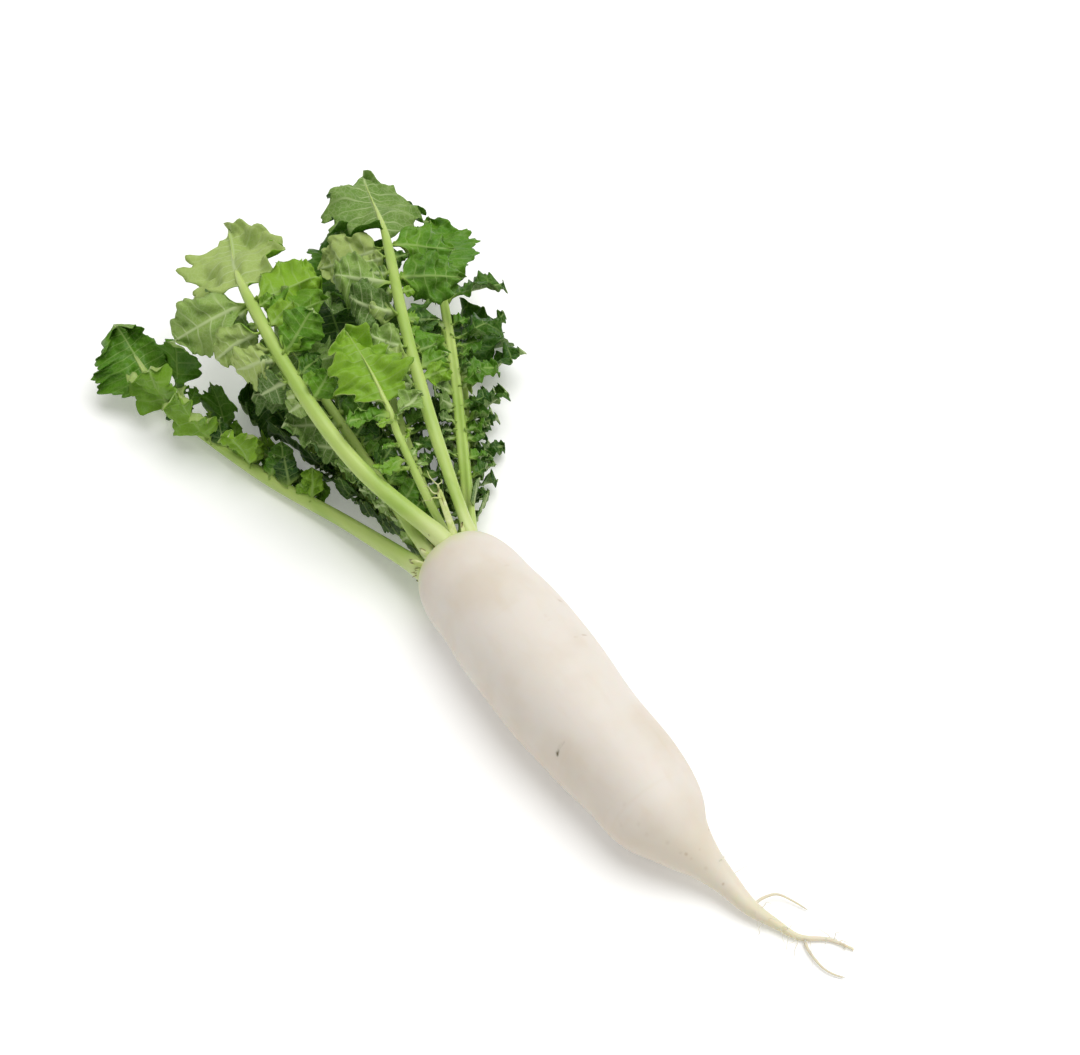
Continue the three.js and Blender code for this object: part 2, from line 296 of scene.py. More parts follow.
def points_of(piece):
    """The points of a piece as an array."""
    flat = np.empty(len(piece.data.vertices) * 3)
    piece.data.vertices.foreach_get("co", flat)
    return flat.reshape(-1, 3)


def set_points(piece, points):
    """Puts the points of a piece where points says, in millimetres."""
    piece.data.vertices.foreach_set("co", (points * MM).ravel())
    piece.data.update()


def choose(piece):
    """Makes this the only piece that is selected, and the active one."""
    bpy.ops.object.select_all(action="DESELECT")
    piece.select_set(True)
    bpy.context.view_layer.objects.active = piece


def add_grid(name, columns, rows):
    """A flat grid, and each point's share along it and across it."""
    bpy.ops.object.select_all(action="DESELECT")
    bpy.ops.mesh.primitive_grid_add(x_subdivisions=columns, y_subdivisions=rows, size=1)
    piece = bpy.context.object
    piece.name = name
    piece.data.name = name
    flat = points_of(piece)
    return piece, flat[:, 0] + 0.5, flat[:, 1] + 0.5


def close_up():
    """In edit mode: merges doubled points and turns every face outwards."""
    bpy.ops.object.mode_set(mode="EDIT")
    bpy.ops.mesh.select_all(action="SELECT")
    bpy.ops.mesh.remove_doubles(threshold=2e-6)
    bpy.ops.mesh.normals_make_consistent(inside=False)
    bpy.ops.mesh.select_all(action="DESELECT")
    bpy.ops.object.mode_set(mode="OBJECT")


def paint(piece, name, values):
    """Writes a number on each point of a piece, for its material to read."""
    layer = piece.data.attributes.new(name, "FLOAT", "POINT")
    layer.data.foreach_set("value", np.asarray(values, np.float32))


def roll(name, columns, rows, skin):
    """A closed tube; skin(share, turn) gives its points and the numbers painted on them."""
    piece, share, turn = add_grid(name, columns, rows)
    points, painted = skin(share, turn)
    set_points(piece, points)
    for mark, values in painted.items():
        paint(piece, mark, values)
    close_up()
    bpy.ops.object.shade_smooth()
    return piece


# %% [markdown]
# The root. These are the sections of the solid: station along the root, sideways sway, height of
# the middle, radius. A height of None is a section that lies on the table. The real root is one
# swollen body from the leaf scars to a tail as thin as a string.

# %% The root's sections
CROWN_X = -90
CROWN_RADIUS = 18.5
SHOULDER_X = -52
FLAT_DEPTH = 1
ROOT_SECTIONS = [
    (SHOULDER_X, 0, None, 32.5),
    (-28, -1, None, 34.4),
    (0, -2, None, 35.2),
    (32, -3, None, 34.4),
    (64, -2, None, 32.2),
    (96, 0, None, 30.5),
    (117, 0, None, 28.4),
    (131, 0.5, 26, 24.6),
    (144, 2, 23, 17.6),
    (158, 6, 18, 11),
    (171, 10, 13, 7.3),
    (190, 14, 8, 4.6),
    (205, 21, 4.4, 2.7),
    (217, 27, 2.6, 1.7),
    (227, 40, 1.8, 1.1),
    (238, 47, 1.5, 0.7),
]
ROOT_AXIS = [
    (x, y, radius - FLAT_DEPTH if z is None else z) for x, y, z, radius in ROOT_SECTIONS
]
ROOT_RADII = [(radius,) for x, y, z, radius in ROOT_SECTIONS]


def root_line(share):
    """Centre, side, top and radius of the root's sections; shares below 0 are the shoulder."""
    body = np.maximum(share, 0)
    centre = through(ROOT_AXIS, body)
    radius = through(ROOT_RADII, body, even=True)[..., 0]
    along = direction(ROOT_AXIS, body)
    # the sections turn smoothly from straight at the crown to the body's own direction
    straight = smooth_rise(-share, 0, 1)[..., None]
    along = unit(mix(along, np.array([1.0, 0.0, 0.0]), straight))
    shoulder = share < 0
    turn = (1 + share) * math.pi / 2
    reach = SHOULDER_X - CROWN_X
    centre[..., 0] = np.where(shoulder, CROWN_X + reach * (1 - np.cos(turn)), centre[..., 0])
    grown = CROWN_RADIUS + (radius - CROWN_RADIUS) * np.sin(turn)
    radius = np.where(shoulder, grown, radius)
    side = unit(np.cross(UP, along))
    return centre, side, np.cross(along, side), radius


print("root from", CROWN_X, "to", ROOT_SECTIONS[-1][0], "mm")

# %% [markdown]
# The skin of a daikon isn't a smooth cone. It has shallow rings where it grew faster and slower,
# small pits across it where side roots sat, and soft dents. They are all real relief here, worked
# into the points, and the same numbers are painted on the skin so that its colour can follow.

# %% Relief of the skin
SKIN_GRID = (420, 112)
CROWN_SHARE = 0.07      # part of the grid that closes the crown and the tip
SHOULDER_SHARE = 0.14   # part of the rest that goes to the shoulder
BODY_SHARE = 1 - SHOULDER_SHARE
CROWN_BULGE = 3.0
TIP_LENGTH = 1.0
FULL_RADIUS = 35        # where the root is this thick, its relief has the full height
LUMP_HEIGHT = 0.42
LUMPS = [(2, 1), (3, -1), (5, 1), (7, 2)]       # waves along the root, and round it
LUMPS_LENGTH = 340      # the length that these waves are counted in
PIT_DEPTH = 0.5
RING_DEPTH = 0.08
NICK_DEPTH = 0.7


def lumps(x, turn):
    """Soft lumps: a sum of waves along and round the root, from -1 to 1."""
    drawn = np.random.default_rng(3)
    total = np.zeros_like(x)
    for along, around in LUMPS:
        phase = drawn.uniform(0, 2 * math.pi)
        total += np.sin(2 * math.pi * (along * (x / LUMPS_LENGTH) + around * turn) + phase)
    return total / len(LUMPS)


# %% Pits where side roots sat
TO_THE_TAIL = 0.8           # under 1, so that pits, rings and hairs crowd towards the tail
PITS = 60
PIT_STRETCH = (-60, 165)
PIT_ROWS = (0.04, 0.6)      # turns of the two broad rows, along the two sides
PIT_SIZES = ((1.2, 0.5, 0.3), (3.0, 0.8, 0.8))      # least and most width, length and strength
# Marks that show: station, turn, width across, length along, strength
MARKS = [
    (-42, 0.2, 2.6, 1.6, 0.35), (-33, 0.083, 2.4, 1.0, 0.8), (-10, 0.122, 2.6, 1.2, 0.7),
    (2, 0.214, 1.6, 0.9, 0.5), (6, 0.217, 1.4, 0.9, 0.4), (19, 0.067, 2.6, 0.9, 0.9),
    (21, 0.175, 1.8, 0.9, 0.6), (42, 0.272, 1.2, 0.9, 0.4), (67, 0.075, 3.0, 0.9, 0.9),
    (118, 0.383, 2.4, 1.6, 0.3), (123, 0.447, 2.0, 1.4, 0.3), (129, 0.397, 1.6, 1.2, 0.35),
    (134, 0.406, 2.0, 1.2, 0.3), (142, 0.378, 1.8, 1.2, 0.35), (148, 0.381, 1.3, 0.8, 0.4),
    (150, 0.369, 1.1, 0.9, 0.7), (153, 0.372, 1.1, 0.8, 0.4), (153, 0.292, 1.0, 0.7, 0.4),
    (161, 0.361, 1.6, 1.4, 0.35), (173, 0.361, 1.1, 0.9, 0.7),
]


def pits(x, turn, radius):
    """Depth of the small cross-wise pits, 0 to 1, where side roots sat."""
    drawn = np.random.default_rng(31)
    marks = list(MARKS)
    for _ in range(PITS):
        middle = mix(*PIT_STRETCH, drawn.uniform() ** TO_THE_TAIL)
        row = drawn.choice(PIT_ROWS) + drawn.normal(0, 0.05)
        marks.append((middle, row, *drawn.uniform(*PIT_SIZES)))
    depth = np.zeros_like(x)
    for middle, row, wide, long, strength in marks:
        across = ((turn - row + 0.5) % 1 - 0.5) * 2 * math.pi * radius / wide
        pit = strength * np.exp(-(((x - middle) / long) ** 2) - across**2)
        depth = np.maximum(depth, pit)
    return depth


# %% Growth rings
RINGS = 30
RING_STRETCH = (-20, 195)
RING_REACH = (0.05, 0.22)   # how far round a ring runs, in turns
RING_WIDTH = 0.9
RING_WOBBLE = 0.8


def rings(x, turn):
    """Depth of the faint growth rings, each running part of the way round."""
    drawn = np.random.default_rng(53)
    depth = np.zeros_like(x)
    for _ in range(RINGS):
        middle = mix(*RING_STRETCH, drawn.uniform() ** TO_THE_TAIL)
        facing = drawn.uniform()
        reach = drawn.uniform(*RING_REACH)
        wobble = RING_WOBBLE * np.sin(2 * math.pi * (2 * turn + drawn.uniform()))
        off = (turn - facing + 0.5) % 1 - 0.5
        line = np.exp(-(((x - middle - wobble) / RING_WIDTH) ** 2))
        depth = np.maximum(depth, line * np.exp(-((off / reach) ** 2)))
    return depth


# %% The one cut
NICK = (67.4, 0.413)            # station and turn of a short cut in the skin
SCRATCH = (0.85, 5, 0.02, 0.5)  # half-width, half-length, bend and depth of the cut
NICK_END = ((0.6, 1.1), (4.5, 1.7))     # its deep end: place and size along, and across


def nick(x, turn, radius):
    """Depth of the one cut in the skin: a short curved scratch that ends in a dark nick."""
    station, facing = NICK
    width, length, bend, depth = SCRATCH
    (ahead, long), (aside, wide) = NICK_END
    off = (turn - facing) * 2 * math.pi * radius
    line = np.exp(-(((x - station - bend * off**2) / width) ** 2) - (off / length) ** 6)
    end = np.exp(-(((x - station - ahead) / long) ** 2) - ((off - aside) / wide) ** 2)
    return np.maximum(depth * line, end)


# %% The whole skin


def root_skin(grid_share, turn):
    """Points of the root's skin with its relief, and what is painted on them."""
    # the first and the last part of the grid close the crown and the tip
    closing = np.clip(grid_share / CROWN_SHARE, 0, 1)
    along = np.clip((grid_share - CROWN_SHARE) / (1 - 1.5 * CROWN_SHARE), 0, 1)
    ending = np.clip((1 - grid_share) / (0.5 * CROWN_SHARE), 0, 1)
    share = np.where(
        along < SHOULDER_SHARE, along / SHOULDER_SHARE - 1, (along - SHOULDER_SHARE) / BODY_SHARE
    )
    centre, side, top, radius = root_line(share)
    angle = 2 * math.pi * turn
    x = centre[:, 0]
    thick = radius / FULL_RADIUS
    pitted = pits(x, turn, radius)
    ringed = rings(x, turn)
    nicked = nick(x, turn, radius)
    relief = LUMP_HEIGHT * lumps(x, turn) - PIT_DEPTH * pitted - RING_DEPTH * ringed
    relief = thick * relief - NICK_DEPTH * nicked
    shape = closing ** 0.5 * np.sqrt(1 - (1 - ending) ** 2)
    reach = (radius + np.where(closing < 1, 0, relief)) * shape
    points = centre + side * (np.cos(angle) * reach)[:, None]
    points += top * (np.sin(angle) * reach)[:, None]
    # the crown bulges a little between the leaf bases, and the tip is round
    points[:, 0] -= CROWN_BULGE * np.cos(closing * math.pi / 2) * (closing < 1)
    points[:, 0] += TIP_LENGTH * np.where(ending < 1, np.cos(ending * math.pi / 2), 0)
    points[:, 2] = np.maximum(points[:, 2], 0)
    return points, {"pit": pitted, "ring": ringed, "nick": nicked}


root = roll("daikon_root", *SKIN_GRID, root_skin)
print("root has", len(root.data.polygons), "faces")

# %% [markdown]
# Side roots and hair roots. A pulled radish keeps a few: two thin branches near the tip, and a
# scatter of hairs along the tail. Each is a tube along a short curve, and they are joined to the
# root as they grow from it.

# %% Side roots and hairs
# share of the root where it starts, point that it bends towards, tip
SIDE_ROOTS = [
    (0.74, (180, 34, 5), (206, 42, 1.3)),
    (0.88, (236, 20, 2.4), (250, 33, 1.3)),
]
SIDE_ROOT_RADII = (1.0, 0.45)       # where it starts, and at its tip
HAIRS = 26
HAIR_STRETCH = (0.62, 0.98)         # shares of the root between which hairs grow
HAIR_TURNS = (-0.12, 0.62)
HAIR_LENGTH = (5, 17)
HAIR_RADII = (0.22, 0.07)
HAIR_STARTS = 0.8                   # share of the root's radius, inside its skin
HAIR_LOWEST = 0.25


def bow(start, bend, tip, share):
    """A point on the curve from start to tip that bends towards bend."""
    left = (1 - share)[:, None]
    share = share[:, None]
    return left**2 * start + 2 * left * share * np.array(bend) + share**2 * np.array(tip)


def thread(name, start, bend, tip, radii, grid, wiggle, seed):
    """A thin tapering root along a bow, with closed ends."""
    drawn = np.random.default_rng(seed)
    phase = drawn.uniform(0, 2 * math.pi, 2)

    def line(share):
        point = bow(start, bend, tip, share)
        sway = wiggle * np.sin(np.pi * share)
        point[:, 0] += sway * np.sin(9 * share + phase[0])
        point[:, 1] += sway * np.sin(7 * share + phase[1])
        return point

    def skin(share, turn):
        step = 1e-3
        along = unit(line(share + step) - line(share - step))
        side = unit(np.cross(UP, along) + 1e-9)
        top = np.cross(along, side)
        angle = 2 * math.pi * turn
        ends = np.sqrt(np.clip(1 - np.abs(2 * share - 1) ** 16, 0, 1))
        radius = mix(*radii, share) * ends
        points = line(share) + side * (radius * np.cos(angle))[:, None]
        points += top * (radius * np.sin(angle))[:, None]
        points[:, 2] = np.maximum(points[:, 2], 0)
        return points, {"thread": np.ones_like(share)}

    return roll(name, *grid, skin)


# %% Put side roots and hairs on the root


def root_surface(share, turn):
    """Centre, outward direction and radius of the root at a share and turn."""
    centre, side, top, radius = root_line(np.array([share]))
    angle = 2 * math.pi * turn
    out = side[0] * math.cos(angle) + top[0] * math.sin(angle)
    return centre[0], out, radius[0]


def make_side_roots():
    """The two side branches and the hairs."""
    made = []
    for share, bend, tip in SIDE_ROOTS:
        start = root_line(np.array([share]))[0][0]
        made.append(thread("side_root", start, bend, tip, SIDE_ROOT_RADII, (40, 10), 0.6, 5))
    drawn = np.random.default_rng(17)
    for number in range(HAIRS):
        share = mix(*HAIR_STRETCH, drawn.uniform() ** TO_THE_TAIL)
        turn = drawn.uniform(*HAIR_TURNS)
        centre, out, radius = root_surface(share, turn)
        start = centre + out * radius * HAIR_STARTS
        length = drawn.uniform(*HAIR_LENGTH)
        sway = drawn.normal(0, 0.55, 3)
        bend = start + out * length * 0.55 + sway * length * 0.2
        tip = start + (out * 0.8 + sway) * length * 0.75
        tip[2] = max(tip[2] - length * 0.5, HAIR_LOWEST)
        bend[2] = max(bend[2], HAIR_LOWEST)
        made.append(thread("hair", start, bend, tip, HAIR_RADII, (14, 5), 0.5, number))
    return made


def join(main, others):
    """Joins pieces into the main one."""
    choose(main)
    for other in others:
        other.select_set(True)
    bpy.ops.object.join()


join(root, make_side_roots())
print("root with hairs has", len(root.data.polygons), "faces")

# %% [markdown]
# The skin's finish. It is cream white with soft warmer clouds, pale yellow green round the crown
# where light reached it, and a little browner in rings and pits. The flesh lets light in a few
# millimetres, which softens every shadow, and the skin is moist, so it has a low broad shine.

# %% Finish of the skin
CREAM = (0.69, 0.62, 0.53)
IVORY = (0.745, 0.694, 0.632)
CROWN_GREEN = (0.62, 0.68, 0.30)
PIT_BROWN = (0.42, 0.28, 0.15)
RING_TAN = (0.66, 0.55, 0.40)
NICK_BROWN = (0.16, 0.13, 0.06)
HAIR_BEIGE = (0.64, 0.60, 0.48)
TAIL_BEIGE = (0.73, 0.67, 0.52)
TAIL_LIME = (0.66, 0.70, 0.36)
GREEN_ENDS = (-0.087, -0.068)       # stations in metres, from the crown's green to the cream
TAIL_STARTS = (0.12, 0.2)
LIME_STARTS = (0.145, 0.165)
LOW_SIDE = (0.006, 0.03)            # heights in metres


def root_finish():
    """Moist cream skin."""
    finish = Finish("root_skin")
    clouds = finish.noise(22, 3.0)
    colour = finish.mix(finish.rise(clouds, 0.35, 0.68), IVORY, CREAM)
    veil = finish.rise(finish.noise(140, 3.0, (0.35, 1, 1)), 0.5, 0.75)
    colour = finish.mix(finish.times(veil, 0.12), colour, RING_TAN)
    separate = finish.add("SeparateXYZ", Vector=finish.place())
    along = separate.outputs["X"]
    edge = finish.math("ADD", along, finish.times(finish.noise(90, 2.0), 0.012))
    green = finish.fall(edge, *GREEN_ENDS)
    colour = finish.mix(finish.times(green, 0.85), colour, CROWN_GREEN)
    tail = finish.times(finish.rise(along, *TAIL_STARTS), 0.7)
    colour = finish.mix(tail, colour, TAIL_BEIGE)
    # the lower side of the tail, near the table, is a little green in patches
    height = separate.outputs["Z"]
    low = finish.fall(height, *LOW_SIDE)
    lime = finish.times(finish.rise(along, *LIME_STARTS), low)
    lime = finish.times(lime, finish.rise(finish.noise(60, 2.0), 0.45, 0.65))
    colour = finish.mix(finish.times(lime, 0.3), colour, TAIL_LIME)
    ring = finish.times(finish.painted("ring"), 0.14)
    colour = finish.mix(ring, colour, RING_TAN)
    pit = finish.rise(finish.painted("pit"), 0.08, 0.8)
    colour = finish.mix(finish.times(pit, 0.55), colour, PIT_BROWN)
    cut = finish.rise(finish.painted("nick"), 0.1, 0.8)
    colour = finish.mix(cut, colour, NICK_BROWN)
    colour = finish.mix(finish.times(finish.painted("thread"), 0.8), colour, HAIR_BEIGE)
    fibres = finish.noise(260, 2.0, (1.0, 0.25, 0.25))
    grain = finish.bump(fibres, 0.0003, 0.25)
    pores = finish.bump(finish.noise(900, 2.0), 0.0001, 0.25, grain)
    skin = finish.add(
        "BsdfPrincipled",
        Base_Color=colour,
        Roughness=0.5,
        IOR=1.42,
        Subsurface_Weight=0.35,
        Subsurface_Radius=(1.0, 0.55, 0.3),
        Subsurface_Scale=0.006,
        Normal=pores,
    )
    return finish.finish(skin)


def cover(piece, *finishes):
    """Gives a piece these materials and no others."""
    piece.data.materials.clear()
    for finish in finishes:
        piece.data.materials.append(finish)


def dress(piece, node):
    """Hands the piece to the frame: it rides on the body and stands for its solid."""
    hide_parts(node)
    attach(piece, "root")


cover(root, root_finish())
dress(root, "root")
print("root dressed")

# %% [markdown]
# The leaves. Each is a long stalk with leaflets in pairs that grow larger towards the tip, and a
# broad lobe at its end. The numbers below are those of the solids, so that each fine leaf keeps
# the form of the plain one: its route, where its base stands on the crown, which way its upper
# side looks, how wide its stalk is, and the space that it keeps to.

# %% The leaves' sizes
STALK_FRONT = 0.28          # depths of a stalk on either side, as shares of its width
STALK_BACK = 0.46
STALK_TAPER = 0.8
NOTCH_DEPTH = 0.21
FOLDED_NOTCH = 0.1          # the leaf that stands apart is folded, its edge nearly whole
NARROWEST = 0.1
HEAP_MIDDLE = 25
TIP_SINKS = (250, 400, 0.28)        # where it starts and ends, and the share of the height lost
SIDE_SINKS = (55, 140, 0.2)
SIDE_STARTS = (110, 200)
FREE_SIDEWAYS = 0.6
FREE_UPWARDS = 0.65
HIGHEST = 117.5             # nothing of the heap stands higher
HIGHEST_FREE = 110
LEAFLET = {
    "teeth": 3, "small_teeth": 2, "small_below": 0.6, "shortest": 0.4, "length": (0.85, 1.1),
    "lean": (63, 77), "raise": (-28, 28), "twist": (16, 40),
    "half": (0.38, 0.46), "curl": (-0.2, 0.16), "cup": (-0.1, 0.4), "wave": (0.14, 0.3),
    "waves": 1.5, "sweep": 0.14, "jitter": (-0.01, 0.01), "crowding": 1.2, "clear_of_tip": 0.05,
    "edge_waves": 4.3, "quilt": 0.3,
}
TERMINAL = {
    "teeth": 5, "cup": (-0.1, 0.3), "wave": 0.18, "waves": 1.6, "edge_waves": 5.3, "quilt": 0.35,
}

# Spaces: lowest and highest point, and how far a blade turns up at a side wall
ON_SURFACE = (0.7, 29, 0.6)
IN_MIDDLE = (31, 66, 0.4)
ON_TOP = (68, 122, -0.5)
STANDING_FREE = (0.7, 64, 0.5)
OVER_THE_REST = (92, 124, -0.3)
PAINTED_SHADE_BY_SPACE = {ON_SURFACE: 0.12, IN_MIDDLE: 0.35}    # painted shade: leaves low in the heap are painted darker, as the heap above shades them

# name, seed, space, side walls, route, around, facing, width, bare, pairs, leaflet, terminal, raise
LEAVES = [
    ("leaf_outer_left", 11, STANDING_FREE, (-40, -13),
     [(-90, -16, 31), (-165, -29, 14), (-238, -52, 9), (-320, -72, 18), (-372, -76, 60)],
     188, (30, 96), (13.5, 9.5), 0.34, 5, 58, (0.77, 33), 50),
    ("leaf_top_left", 23, ON_TOP, (-17, 8.5),
     [(-90, -3, 49), (-152, -26, 73), (-226, -29, 92), (-304, -17, 102), (-382, 13, 92)],
     100, (292, 292), (11.5, 6), 0.42, 5, 54, (0.74, 36), 14),
    ("leaf_top_short", 33, OVER_THE_REST, (-24, 30),
     [(-90, 2, 40), (-118, 1, 60), (-148, 2, 82), (-187, 7, 100), (-224, 10, 106)],
     75, (262, 262), (6, 3.6), 0.54, 2, 27, (0.62, 26), 8),
    ("leaf_top_right", 47, ON_TOP, (9.5, 40),
     [(-90, 13, 43), (-152, 27, 74), (-225, 51, 92), (-304, 84, 98), (-384, 114, 94)],
     36, (265, 265), (9.5, 5.5), 0.36, 5, 54, (0.74, 36), 14),
    ("leaf_middle_left", 59, IN_MIDDLE, (-18, 8),
     [(-90, -13, 41), (-140, -11, 46), (-192, -7, 48), (-246, -3, 50), (-300, 0, 54)],
     146, (272, 272), (8.5, 5), 0.3, 5, 44, (0.72, 32), 2),
    ("leaf_middle", 61, IN_MIDDLE, (9, 25.5),
     [(-90, 0, 29), (-150, 14, 42), (-218, 34, 48), (-293, 59, 51), (-368, 86, 56)],
     260, (88, 88), (7.5, 5), 0.32, 5, 46, (0.74, 34), 6),
    ("leaf_middle_right", 73, IN_MIDDLE, (26.5, 50),
     [(-90, 15, 29), (-150, 46, 42), (-214, 79, 49), (-284, 112, 53), (-352, 144, 58)],
     342, (100, 100), (8.5, 5), 0.3, 5, 46, (0.74, 34), 6),
    ("leaf_lower_left", 83, ON_SURFACE, (-12, 3.5),
     [(-90, -11, 21), (-140, -4, 13), (-192, -8, 9), (-246, -15, 9), (-301, -21, 13)],
     228, (84, 84), (8.5, 5), 0.26, 5, 42, (0.74, 31), 16),
    ("leaf_lower", 97, ON_SURFACE, (4.5, 23.5),
     [(-90, -1, 17), (-155, 14, 11), (-220, 28, 8), (-288, 45, 9), (-354, 63, 13)],
     266, (90, 90), (8.5, 5), 0.26, 5, 44, (0.74, 34), 16),
    ("leaf_lower_right", 101, ON_SURFACE, (24.5, 52),
     [(-90, 9, 20), (-140, 40, 12), (-190, 72, 8), (-240, 101, 9), (-288, 130, 13)],
     304, (96, 96), (8.5, 5), 0.24, 5, 44, (0.74, 34), 16),
]
print("leaves:", len(LEAVES))

# %% [markdown]
# The solids' formulas, again. A leaf's middle line has a direction along it, one across it and one
# to its upper side; its blades are bent back softly where they would leave the leaf's own space;
# and the whole heap sinks towards its tips and sides, as cut leaves do under their own weight.

# %% The middle line, the space and the heap


class Leaf:
    """One leaf's numbers, and its middle line."""

    def __init__(self, row):
        (self.name, self.seed, self.space, self.between, route, self.around, self.facing,
         self.width, self.bare, self.pairs, self.leaflet, self.terminal, self.raised) = row
        self.route = np.array(route, float)
        self.brightness = PAINTED_SHADE_BY_SPACE.get(self.space, 1.0)
        self.notch = FOLDED_NOTCH if self.space == STANDING_FREE else NOTCH_DEPTH

    def line(self, share):
        """Centre, along, across, upper and stalk width at shares of the leaf."""
        inward = self.around + 180 if self.around < 180 else self.around - 180
        twist = smooth_rise(share, 0, self.bare)
        facing = mix(*self.facing, smooth_rise(share, self.bare, 1))
        angle = np.radians(mix(inward, facing, twist))
        towards = np.stack([0 * angle, np.cos(angle), np.sin(angle)], -1)
        along = direction(self.route, share)
        across = unit(np.cross(towards, along))
        upper = np.cross(along, across)
        base, tip = self.width
        width = mix(base, tip, np.maximum(share, 0) ** STALK_TAPER)
        return through(self.route, share), along, across, upper, width


# %% Sink the heap, and keep blades in their space


def sink(points):
    """Lets the heap sink towards its tips and sides."""
    *tip, tip_loss = TIP_SINKS
    *side, side_loss = SIDE_SINKS
    out = smooth_rise(-points[..., 0], *tip)
    beside = smooth_rise(np.abs(points[..., 1] - HEAP_MIDDLE), *side)
    beside = beside * smooth_rise(-points[..., 0], *SIDE_STARTS)
    points = points.copy()
    points[..., 2] *= 1 - tip_loss * out - side_loss * beside
    over = np.maximum(points[..., 2] - HIGHEST_FREE, 0)
    room = HIGHEST - HIGHEST_FREE
    points[..., 2] = np.where(over > 0, HIGHEST_FREE + room * np.tanh(over / room), points[..., 2])
    return points


def soften(value, limit, free):
    """Brings a value back inside a limit; nothing moves within the free share of it."""
    edge = limit * free
    past = np.maximum(np.abs(value) - edge, 0)
    held = edge + (limit - edge) * np.tanh(past / (limit - edge))
    return np.where(past > 0, np.sign(value) * held, value)


def settle(points, leaf):
    """Keeps points of a blade inside the leaf's own space."""
    low, high, turn = leaf.space
    first, last = np.radians(leaf.between)
    away = CROWN_X - points[..., 0]
    reach = np.hypot(away, points[..., 1])
    middle = (first + last) / 2
    bearing = np.arctan2(points[..., 1], away) - middle
    held = soften(bearing, (last - first) / 2, FREE_SIDEWAYS)
    turned = np.abs(bearing - held) * reach * turn
    level = (low + high) / 2
    height = soften(points[..., 2] + turned - level, (high - low) / 2, FREE_UPWARDS)
    back = CROWN_X - reach * np.cos(middle + held)
    return sink(np.stack([back, reach * np.sin(middle + held), level + height], -1))


# %% Repeatable random numbers
DRAW_TIMES = 1664525        # a well-known pair of numbers for a simple chain of random numbers
DRAW_PLUS = 1013904223
DRAW_RANGE = 2**32


def draws(seed):
    """Repeatable random numbers from 0 to 1, in the solids' own order."""
    state = seed
    while True:
        state = (state * DRAW_TIMES + DRAW_PLUS) % DRAW_RANGE
        yield state / DRAW_RANGE


def pick(ends, random):
    """A random value between two ends."""
    return mix(*ends, next(random))


# %% [markdown]
# A blade. The real one is a third of a millimetre thick, toothed, ruffled, and quilted between its
# veins, with the midrib and side veins standing out below. A flat grid is shaped by the solid's
# formula with finer teeth and ripples on top, a Solidify modifier gives it thickness, and a
# painted weight makes it thicker along the veins, so that they are real ridges on the underside.

# %% What shapes a blade
GRIDS = {"leaflet": (50, 18), "terminal": (72, 28), "small": (18, 8)}
STEM_ENDS = {"leaflet": 0.16, "small": 0.34}    # how far up a leaflet the stalk's colour goes
# shares of a leaflet between which it lets go of the stalk's height; a small one never does
LETS_GO = {"leaflet": (0.0, 0.35), "small": (2.0, 3.0)}
MIDRIB_CROWDING = 1.25      # over 1, so that the grid's columns crowd at the midrib
BLADE_THICKNESS = 0.34
VEIN_THICKNESS = 1.5        # where the midrib starts
RIB_START = 0.5             # the midrib thins from its start to the tip: a larger number is thinner
RIB_TIP = 1.3
RIDGE_WIDTH = 1.1
SIDE_RIDGE = (0.22, 0.3)    # width and height of the side veins' ridges
FRILL = 0.14                # height of the edge's fine ripples, as a share of the half-width
FINE_TOOTH = 0.08
FINE_TEETH = 3              # in each large one
SIDE_SHIFT = 0.3            # the teeth of the two sides don't match
TOOTH_RISES = 0.66          # a tooth leans to the tip of the blade
TOOTH_FALLS = 0.34
# how many, height as a share of the blade's size, fewest and most waves along and across
CRUMPLES = [
    (4, 0.036, (0.7, -1.2), (2.0, 1.2)),        # soft folds
    (5, 0.009, (2.6, -3.2), (5.2, 3.2)),        # finer puckers
]
STEM_WIDTH = 0.3        # width of a leaflet where it leaves the stalk, as a share
STEM_SHIFT = 0.34       # a leaflet leaves the stalk at its side: a share of the stalk's width
LOBE_BLEND = 0.1        # the stalk turns into the lobe's midrib over this share of the leaf
print("blade", BLADE_THICKNESS, "mm thick, midrib", VEIN_THICKNESS, "mm")

# %% Edge, folds and ripples of a blade


def outline(share, teeth, fine, shift, notch_depth=NOTCH_DEPTH):
    """Half-width of a blade as a share of its widest, with the solid's teeth and finer ones."""
    body = np.sin(np.pi * np.clip(share, 0, 1) ** 0.85) ** 0.7
    notch = 0.5 + 0.5 * np.cos(2 * np.pi * teeth * share)
    point = (fine * share + shift + 0.3 * np.sin(2 * np.pi * (1.3 * share + shift))) % 1
    saw = np.where(point < TOOTH_RISES, point / TOOTH_RISES, (1 - point) / TOOTH_FALLS)
    width = body * (1 - notch_depth * notch) * (1 - FINE_TOOTH * (1 - saw) ** 1.4)
    least = NARROWEST * np.sqrt(np.clip(1 - share**8, 0, 1))
    return np.maximum(width, least)


def crumple(u, v, size, drawn):
    """Folds and puckers of a blade, in millimetres; none where it leaves the stalk."""
    total = np.zeros_like(u)
    for count, height, fewest, most in CRUMPLES:
        for _ in range(count):
            along, across, phase = drawn.uniform((*fewest, 0), (*most, 1))
            total += height * size * np.sin(2 * np.pi * (along * u + across * v + phase))
    return total * smooth_rise(u, 0, 0.3) * smooth_rise(np.abs(v), -0.12, 0.4)


def frill(u, v, half, waves_at_edge, drawn):
    """Fine ripples of the edge."""
    first, second, other_side = drawn.uniform(0, 1, 3)
    side = other_side * np.sign(v)
    large = np.abs(v) ** 2.2 * np.sin(2 * np.pi * (waves_at_edge * u + first + side))
    small = np.abs(v) ** 4 * np.sin(2 * np.pi * (2.3 * waves_at_edge * u + second - side))
    return half * (FRILL * large + 0.4 * FRILL * small)


